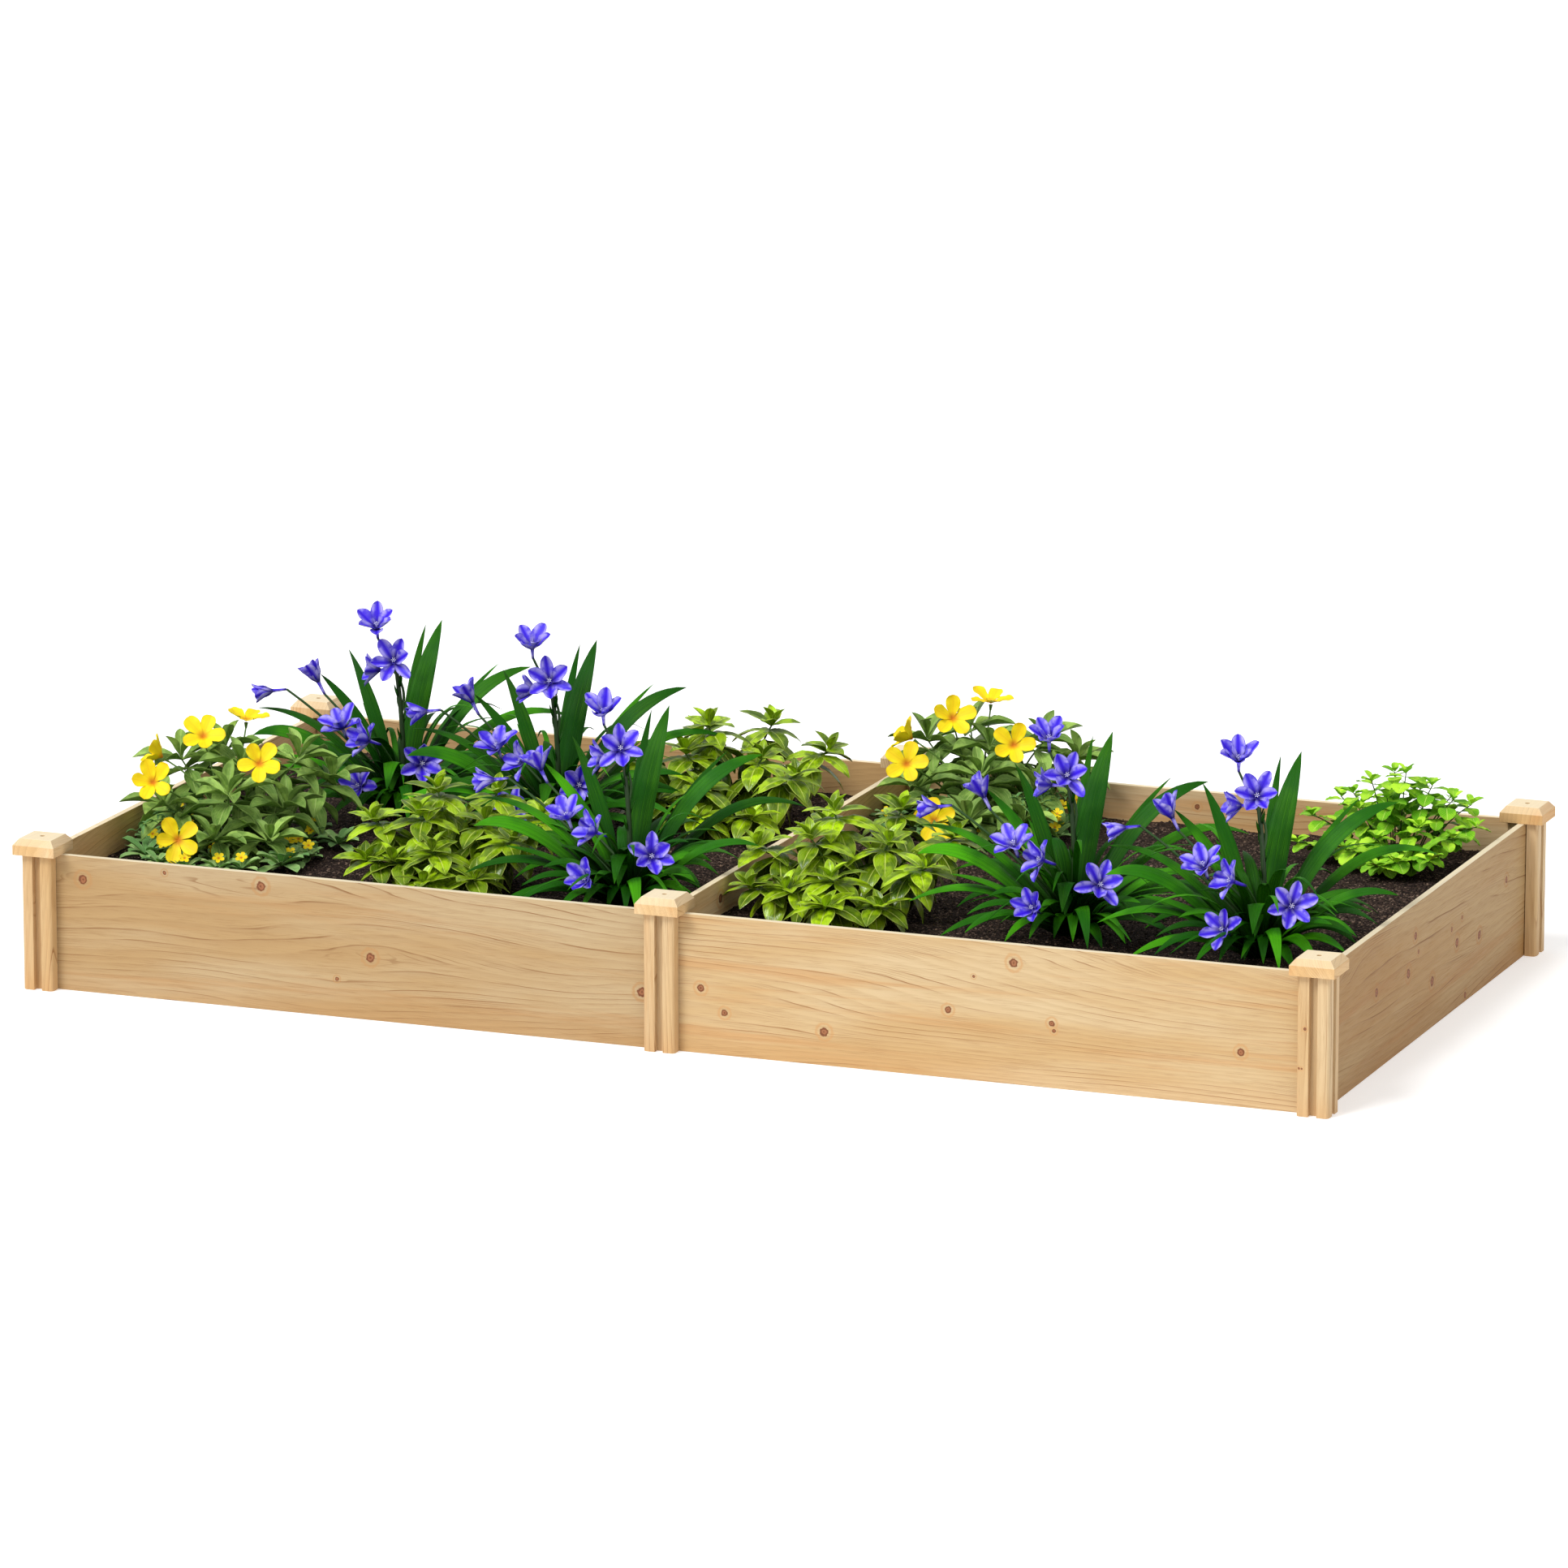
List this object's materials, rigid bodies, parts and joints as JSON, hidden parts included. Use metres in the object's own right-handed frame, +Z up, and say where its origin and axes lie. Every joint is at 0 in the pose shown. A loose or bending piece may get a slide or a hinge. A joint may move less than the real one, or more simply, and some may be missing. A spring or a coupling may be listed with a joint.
{
  "type": "planted raised bed",
  "caption": "Low slot-together fir raised garden bed with grooved posts, hipped caps and a cross divider, filled with soil and planted with blue lilies, green shrubs, yellow flowers and a herb.",
  "frame": {"origin": "on the ground under the middle of the bed", "axes": "+X along the bed's long side to the right as seen from the front, +Y to the back, +Z up"},
  "size_m": [2.438, 1.269, 0.5582],
  "materials": {
    "fir": "planed, unpainted",
    "zinc_screw": "dull zinc",
    "soil": "dark moist granular potting soil; stone stands in for soil",
    "lily_leaf": "satin deep green leaf; leather stands in for leaf",
    "lily_petal": "matt blue-violet petals on dark green stems; fabric stands in for petal",
    "shrub": "glossy yellow-green leaf; leather stands in for leaf",
    "yellow_plant_leaf": "matt mid-green leaf; leather stands in for leaf",
    "yellow_petal": "matt yellow petals on green stems; fabric stands in for petal",
    "herb": "bright green crinkled leaf; leather stands in for leaf"
  },
  "bodies": {
    "root": {"post_front_left": "fir", "cap_front_left": "fir", "cap_screw_front_left": "zinc_screw", "post_front_middle": "fir", "cap_front_middle": "fir", "cap_screw_front_middle": "zinc_screw", "post_front_right": "fir", "cap_front_right": "fir", "cap_screw_front_right": "zinc_screw", "post_back_left": "fir", "cap_back_left": "fir", "cap_screw_back_left": "zinc_screw", "post_back_middle": "fir", "cap_back_middle": "fir", "cap_screw_back_middle": "zinc_screw", "post_back_right": "fir", "cap_back_right": "fir", "cap_screw_back_right": "zinc_screw", "board_front_left": "fir", "board_front_right": "fir", "board_back_left": "fir", "board_back_right": "fir", "board_side_left": "fir", "board_side_right": "fir", "board_divider": "fir", "soil_left": "soil", "soil_right": "soil", "lily_1_leaves": "lily_leaf", "lily_1_flowers": "lily_petal", "lily_2_leaves": "lily_leaf", "lily_2_flowers": "lily_petal", "lily_3_leaves": "lily_leaf", "lily_3_flowers": "lily_petal", "lily_4_leaves": "lily_leaf", "lily_4_flowers": "lily_petal", "lily_5_leaves": "lily_leaf", "lily_5_flowers": "lily_petal", "shrub_1": "shrub", "shrub_2": "shrub", "shrub_3": "shrub", "yellow_plant_1_leaves": "yellow_plant_leaf", "yellow_plant_1_flowers": "yellow_petal", "yellow_plant_2_leaves": "yellow_plant_leaf", "yellow_plant_2_flowers": "yellow_petal", "herb_1": "herb"}
  },
  "joints": []
}
